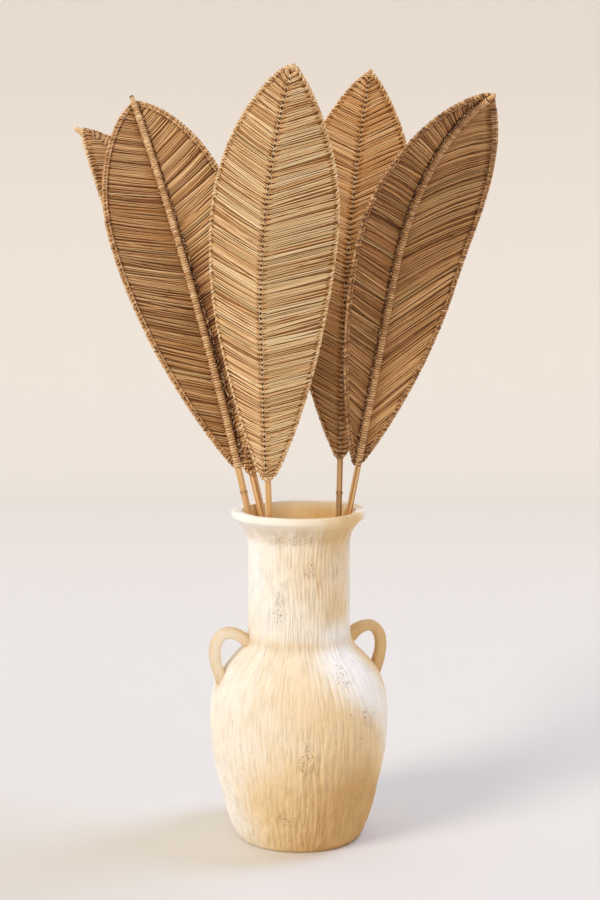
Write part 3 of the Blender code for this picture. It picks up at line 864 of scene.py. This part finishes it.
def make_cane(leaf, look):
    """The cane with its swollen nodes and a rounded, slightly knobbed upper end."""
    rise = RIM_Z - FLOOR_Z
    lean = np.hypot(*np.subtract(leaf.rim, leaf.foot)) / rise
    bottom = -np.hypot(rise, rise * lean) + GAP + leaf.cane * lean
    top = leaf.start + leaf.length + leaf.past
    nodes = np.arange(leaf.node, bottom + NODE_SPACING / 4, -NODE_SPACING)
    places = [np.arange(bottom, top, CANE_STEP), top - np.array([0, 0.0006, 0.0016, 0.003, 0.005])]
    places += [node + np.linspace(-0.005, 0.005, 11) for node in nodes]
    at = np.unique(np.concatenate(places))
    at = at[(at >= bottom) & (at <= top)]
    at = at[np.append(True, np.diff(at) > 0.0002)]
    points, along = cane_path(leaf, at)
    radius = cane_radius(leaf, at)
    ringed = np.zeros(len(at))
    for node in nodes:
        away = (at - node) / NODE_HALF
        radius += NODE_SWELL * bell(away) - NODE_GROOVE * bell(away - 1.6) ** 3
        ringed = np.maximum(ringed, 0.6 * bell(away - 0.8))
    left = top - at
    if leaf.dark_foot:
        ringed = np.maximum(ringed, 0.26 * (at < leaf.node))
    if leaf.dark_end:
        ringed = np.maximum(ringed, fade(left, 0.0055, 0.0035))
    radius = radius * np.sqrt(np.clip(1 - (1 - left / 0.0018).clip(0, 1) ** 2, 0.06, 1))
    radius = radius + 0.0005 * bell((left - 0.0035) / 0.002)
    straws = Straws(leaf)
    normals = np.cross(along, (1, 0, 0))
    straws.add(points, normals, radius, radius, CANE_SIDES, ringed)
    straws.piece("cane", look, "cane", "stem")


def smooth_line(points, count, ease=1):
    """A curve in metres through the points, read at places that ease away from its start."""
    points = np.array(points) * MM
    ends = np.vstack([2 * points[0] - points[1], points, 2 * points[-1] - points[-2]])
    a, b, c, d = (ends[k:k + len(points) - 1, None] for k in range(4))
    t = np.arange(12)[:, None] / 12
    dense = b + 0.5 * ((c - a) * t + (2 * a - 5 * b + 4 * c - d) * t ** 2
                       + (3 * b - a - 3 * c + d) * t ** 3)
    dense = np.vstack([dense.reshape(-1, 2), points[-1:]])
    along = distance_along(dense)
    return read_along(along[-1] * np.linspace(0, 1, count) ** ease, along, dense)


def smooth_noise(random, around, up, angle, height):
    """Noise of about one on so many cells round the vase and up it."""
    grid = random.normal(0, 1, (up + 2, around))
    u = angle / (2 * np.pi) * around
    v = np.clip(height / VASE_TOP, 0, 1) * up
    i, j = np.floor(u).astype(int), np.floor(v).astype(int)
    fu, fv = fade(u - i, 0, 1), fade(v - j, 0, 1)
    low, high = (grid[k, i % around] * (1 - fu) + grid[k, (i + 1) % around] * fu for k in (j, j + 1))
    return low * (1 - fv) + high * fv


def turned_away(angle, turn):
    """The difference of two turns, from minus to plus half a turn."""
    return (angle - turn + np.pi) % (2 * np.pi) - np.pi


def add_ware(name, points, wrap, look, values, order=(0, 1, 2, 3)):
    """A ceramic piece of closed rings of points; its look is read at the points of wrap."""
    shape = points.shape[:2]
    index = np.arange(shape[0] * shape[1]).reshape(shape)
    after = np.roll(index, -1, axis=1)
    faces = np.stack([index[:-1], index[1:], after[1:], after[:-1]], -1)[..., order]
    values = {label: np.broadcast_to(value, shape).ravel() for label, value in values.items()}
    values["wrap"] = wrap.reshape(-1, 3)
    add_piece(name, points.reshape(-1, 3), faces.reshape(-1, 4), look, ["vase"], values)


def shell(name, radius, height, angle, look, values):
    """A turned piece of the vase from its radius and height at each row and turn."""
    points, wrap = (np.stack([r * np.cos(angle), r * np.sin(angle), height], -1)
                    for r in (radius, WRAP_RADIUS))
    add_ware(name, points, wrap, look, values)


def lathe(profile, rows, ease, sides):
    """Turn, radius and height of the points of a turned piece."""
    line = smooth_line(profile, rows, ease)
    angle, radius = np.meshgrid(turns(sides), line[:, 0])
    return angle, radius, line[:, 1:] * np.ones(sides)


def make_vase(ware, inner):
    """The turned body with its combing, drip and pits, its inside and both handles."""
    random = np.random.default_rng(7)
    angle, radius, height = lathe(VASE_OUTSIDE, VASE_ROWS, ROW_EASE, VASE_SIDES)
    height = np.maximum(height, 0)

    def noise(around, up, turn=angle, rise=height):
        return smooth_noise(random, around, up, turn, rise)

    def level(low, high):
        return fade(height, low, high)

    def off(degrees):
        """How far round a place lies from a turn off the front."""
        return turned_away(angle, -np.pi / 2 + np.radians(degrees))

    bent = angle + 0.022 * noise(11, 7)
    strokes = COMB_STROKES * bent + 1.3 * noise(60, 16)
    comb = 0.5 * np.sin(strokes) * (1 + 0.6 * noise(48, 18))
    comb += 0.5 * np.sin(2 * strokes + noise(90, 30)) * fade(radius, 0.085, 0.105)
    comb += 0.4 * noise(128, 30, bent)
    low_down = level(0.17, 0.06)
    comb += 0.36 * low_down * smooth_noise(np.random.default_rng(8), 150, 92, angle, height)
    combed = (1 + 0.8 * low_down) * level(*COMB_TOP) * level(0.001, 0.012)
    combed *= fade(radius, 0.06, 0.07)
    lip = level(0.43, 0.44)
    uneven = 0.0006 * noise(7, 6) + 0.0003 * noise(40, 1, rise=0 * height) * lip
    chips = noise(70, 1, rise=0 * height) * level(0.008, 0)
    uneven += 0.0005 * np.minimum(chips, 0.3) * (radius > 0.08)
    pitted = np.max([bell(off(degrees) * radius / MM / wide, (height / MM - middle) / tall)
                     for degrees, middle, wide, tall in PITTED], axis=0)
    pitted = fade(pitted + 0.25 * noise(60, 40), 0.3, 0.9)
    foot, bend, top, end = DRIP_HEIGHTS
    drip = DRIP_TURNS[0] + (DRIP_TURNS[1] - DRIP_TURNS[0]) * level(bend, top)
    drip = bell(off(drip) * radius / DRIP_HALF_WIDTH) * level(foot, bend) * level(end, top)
    relief = COMB_RELIEF * comb * combed + DRIP_RELIEF * drip + uneven
    # Painted shade as ochre: under the lip, in the waist crease, at the foot and round the handles'
    # roots.
    shaded_hollows = [level(0.408, 0.422) * level(0.442, 0.434), bell((height - WAIST) / 0.008),
               level(0.03, 0)]
    for turn in HANDLE_TURNS.values():
        side = turned_away(angle, turn) * radius
        for middle, swell in HANDLE_ENDS:
            relief += swell * bell(side / 0.01, (height - middle) / 0.009)
            shaded_hollows.append(1.8 * bell(side / 0.014, (height - middle) / 0.012))
    hollow_shade = 0.5 * np.max(shaded_hollows, axis=0)
    # Ochre wash, partly the ware's own and partly painted shade, deepest on the side turned from the
    # key light and low down.
    wash_shade_highlight = 0.36 + 0.09 * noise(9, 6)
    for share, deepest, low, high in SHADE_WASHES:
        wash_shade_highlight += share * level(low, high) * np.cos(angle - np.radians(deepest))
    # Painted highlight: paler on the right shoulder and down the right edge of the neck, where the
    # edge light shines.
    lower = level(0.26, 0.14)
    pale = bell(off(46 + 38 * lower) / (0.46 - 0.14 * lower))
    pale *= (1 - 0.35 * lower) * level(0.03, 0.14) * level(0.32, 0.275)
    wash_shade_highlight -= 0.75 * pale + 0.5 * bell(off(82) / 0.3) * level(0.26, 0.3)
    values = {"hollow_shade": hollow_shade, "lip": lip, "pitted": pitted, "groove_shade": -comb * combed, "wash_shade_highlight": wash_shade_highlight}
    shell("vase_body", radius + relief, height, angle, ware, values)
    angle, radius, height = lathe(VASE_INSIDE, INSIDE_ROWS, 1, INSIDE_SIDES)
    shell("vase_inside", radius, height, angle, inner, {"lip": fade(height, 0.438, 0.45)})
    for side, turn in HANDLE_TURNS.items():
        handle(side, turn, ware)


def handle(side, turn, look):
    """A flattened strap that thickens where it is pressed on to the neck and the shoulder."""
    line = smooth_line(HANDLE_LINE, HANDLE_STEPS)
    share = np.linspace(0, 1, HANDLE_STEPS)
    flare = 1 + HANDLE_FLARE * (bell(share / 0.12) + bell((1 - share) / 0.1))
    uneven = 1 + 0.025 * np.sin(share * 17 + turn) + 0.015 * np.sin(share * 41)
    sideways = np.array([-np.sin(turn), np.cos(turn), 0])
    centre = np.stack([line[:, 0] * np.cos(turn), line[:, 0] * np.sin(turn), line[:, 1]], -1)
    outwards = unit(np.cross(np.gradient(centre, axis=0), sideways))
    cosine, sine = np.cos(turns(HANDLE_SIDES)), np.sin(turns(HANDLE_SIDES))
    reach = 1 / np.linalg.norm([cosine, sine], HANDLE_POWER, axis=0)
    thick = (HANDLE_THICK / 2 * flare * uneven)[:, None] * cosine * reach - HANDLE_SHIFT
    wide = (HANDLE_WIDE / 2 * flare)[:, None] * sine * reach
    points = centre[:, None] + outwards[:, None] * thick[..., None] + sideways * wide[..., None]
    # Ochre near both roots, painted shade where the strap meets the body, and ochre on the strap's
    # outer face.
    hollow_shade = 0.8 * (bell(share / 0.16) + bell((1 - share) / 0.14))
    hollow_shade = hollow_shade[:, None] + 0.7 * fade(cosine, 0.1, 1)
    values = {"hollow_shade": hollow_shade, "lip": 0.5, "pitted": 0, "groove_shade": 0, "wash_shade_highlight": HANDLE_SHADE_WASH[side]}
    add_ware("vase_handle_" + side, points, points, look, values, (0, 3, 2, 1))


def straw_finish(name, stops, roughness):
    """Dried straw: each one its own tone and tint, with lengthwise fibres."""
    look = Finish(name, roughness, 0.3)
    grain = look.read("grain", "Vector")
    fibres = look.noise(grain, 1.6, stretch=(1, 0.5, 1))
    patches = look.noise(grain, 1, 2, stretch=(0.05, 0.6, 0.05))
    tone = look.times_plus(fibres, 0.3, -0.15)
    tone = look.maths("ADD", look.read("shade"), tone)
    tone = look.maths("ADD", tone, look.times_plus(patches, 0.18, -0.09))
    base = look.ramp(tone, stops)
    tint = look.read("tint")
    base = look.mix(look.span(tint, 0.4, 2.4, 0, 0.45), base, GREEN_STRAW)
    base = look.mix(look.span(tint, -0.4, -2.4, 0, 0.45), base, ORANGE_STRAW_AND_BOUNCE)
    return look.made(base, fibres, 0.5, 0.0004)


def cane_finish():
    """Bare cane: pale tan with darker lengthwise streaks and a brown ring at each node."""
    look = Finish("bare_cane", 0.36, 0.5)
    grain = look.read("grain", "Vector")
    streaks = look.noise(grain, 1, 4, stretch=(1.1, 0.06, 1.1))
    base = look.ramp(streaks, CANE_COLOURS)
    base = look.mix(look.read("shade"), base, NODE_BROWN)
    return look.made(base, streaks, 0.35, 0.0005)


def ceramic_finish():
    """Combed cream ware with gatherings of small pits, and ochre in its grooves and hollows and on
    its shaded side, partly painted shade, with a painted highlight on the right shoulder.
    """
    look = Finish("combed_ceramic", 0.72, 0.3)
    wrap = look.read("wrap", "Vector")
    hollow_shade = look.read("hollow_shade")
    lip = look.read("lip")
    pitted = look.read("pitted")
    combed = look.noise(wrap, 300, 3, 0.6, (1, 1, 0.1))
    brushed = look.noise(wrap, 70, 5, 0.65, (1, 1, 0.35))
    rough = look.noise(wrap, 420, 4, 0.6, (0.8, 0.8, 1.2))
    plain = look.maths("SUBTRACT", 1, lip)
    lines = look.noise(wrap, 230, 1.5, 0.5, (1, 1, 0.07))
    lines = look.maths("ABSOLUTE", look.maths("SUBTRACT", lines, 0.5))
    ridges = look.span(lines, 0.1, 0)
    ridges = look.times(ridges, look.span(look.noise(wrap, 55, 2), 0.4, 0.58, 0.15, 1))
    # The wash carries painted shade and painted highlight as well as the ware's own ochre.
    wash_shade_highlight = look.maths("ADD", look.read("wash_shade_highlight"), look.times_plus(brushed, 0.28, -0.14))
    base = look.ramp(wash_shade_highlight, WARE_COLOURS)
    # Ochre in the combing grooves: partly the glaze, partly painted shade for the relief, deeper
    # where the wash is.
    groove_shade_share = look.span(look.read("groove_shade"), -0.4, 1.8)
    groove_shade_share = look.times(groove_shade_share, 0.3)
    groove_shade_share = look.maths("ADD", groove_shade_share, look.times(look.span(combed, 0.52, 0.36), 0.14))
    groove_shade_share = look.times(groove_shade_share, plain)
    groove_shade_share = look.times(groove_shade_share, look.span(wash_shade_highlight, 0.05, 0.6, 0.3, 1.15))
    base = look.mix(groove_shade_share, base, GROOVE_OCHRE_AND_SHADE)
    # Painted shade as ochre in the hollows, broken up by the brushing.
    ochre = look.times(hollow_shade, look.span(brushed, 0.3, 0.6, 0.3, 0.75))
    base = look.mix(ochre, base, HOLLOW_SHADE_OCHRE)
    cells = look.cells(look.scaled(wrap, (1, 1, 0.8)), 400)
    chance = look.span(look.noise(wrap, 190, 1), 0.4, 0.5)
    pits = look.times(look.times(look.span(cells, 0.38, 0.2), chance), pitted)
    stray = look.span(look.noise(wrap, 26, 2), 0.58, 0.7)
    stray = look.times(stray, look.span(look.cells(wrap, 170), 0.12, 0.06))
    pits = look.maths("MAXIMUM", pits, look.times(stray, plain))
    base = look.mix(look.times(pits, 0.85), base, PIT_BROWN)
    height = look.times_plus(combed, 0.45, look.times(brushed, 0.3))
    height = look.times_plus(ridges, 0.54, height)
    height = look.times(height, plain)
    height = look.times_plus(pits, -0.5, height)
    height = look.times_plus(rough, 0.3, height)
    height = look.times_plus(look.times(pitted, rough), 1.2, height)
    return look.made(base, height, 0.8, 0.0014)


def inner_finish():
    """The unbrushed inside: ochre with soft stains."""
    look = Finish("inner_ceramic", 0.8, 0.25)
    wrap = look.read("wrap", "Vector")
    stains = look.noise(wrap, 38, 4, stretch=(1, 1, 0.5))
    base = look.ramp(stains, INSIDE_COLOURS)
    base = look.mix(look.times(look.read("lip"), 0.8), base, LIP_CREAM)
    return look.made(base, look.noise(wrap, 300, 3), 0.3, 0.0008)


def make_floor():
    """A pale floor that sweeps up into a backdrop far behind."""
    turn = np.linspace(0, np.pi / 2, 97)
    sweep = zip(SWEEP_START + SWEEP_RADIUS * np.sin(turn), SWEEP_RADIUS * (1 - np.cos(turn)))
    line = [(-FLOOR_REACH, 0), *sweep, (SWEEP_START + SWEEP_RADIUS, FLOOR_REACH)]
    vertices = [(x, y, z) for y, z in line for x in (-FLOOR_REACH, FLOOR_REACH)]
    faces = [(k, k + 1, k + 3, k + 2) for k in range(0, len(vertices) - 2, 2)]
    mesh = bpy.data.meshes.new("floor")
    mesh.from_pydata(vertices, [], faces)
    look = Finish("pale_floor", 0.9, 0.2)
    look.colour(linear(FLOOR_COLOUR))
    mesh.materials.append(look.material)
    show("floor", mesh)


def make_studio():
    scene = bpy.context.scene
    scene.view_settings.view_transform = "Standard"
    world = bpy.data.worlds.new("studio")
    world.use_nodes = True
    background = world.node_tree.nodes["Background"]
    background.inputs["Color"].default_value = WORLD_COLOUR
    background.inputs["Strength"].default_value = WORLD_STRENGTH
    scene.world = world
    for name, source, power, spread, colour in LIGHTS:
        lamp = bpy.data.lights.new(name, "SUN")
        lamp.energy = power
        lamp.angle = np.radians(spread)
        lamp.color = colour
        show(name, lamp).rotation_euler = Vector(source).to_track_quat("Z", "Y").to_euler()
    make_floor()


def make_camera():
    lens = bpy.data.cameras.new("camera")
    lens.lens = CAMERA_LENS
    camera = show("camera", lens)
    camera.location = CAMERA_PLACE
    camera.rotation_euler = (CAMERA_TILT, 0, 0)
    bpy.context.scene.camera = camera


def main():
    make_camera()
    make_studio()
    straw = straw_finish("dried_straw", STRAW_COLOURS, 0.55)
    cord = straw_finish("hem_straw", HEM_COLOURS, 0.6)
    make_vase(ceramic_finish(), inner_finish())
    bare = cane_finish()
    for leaf in map(Leaf, range(5)):
        make_cane(leaf, bare)
        make_winding(leaf, cord)
        make_strands(leaf, straw)
        make_stitch(leaf, cord)
        make_hem(leaf, cord)


main()
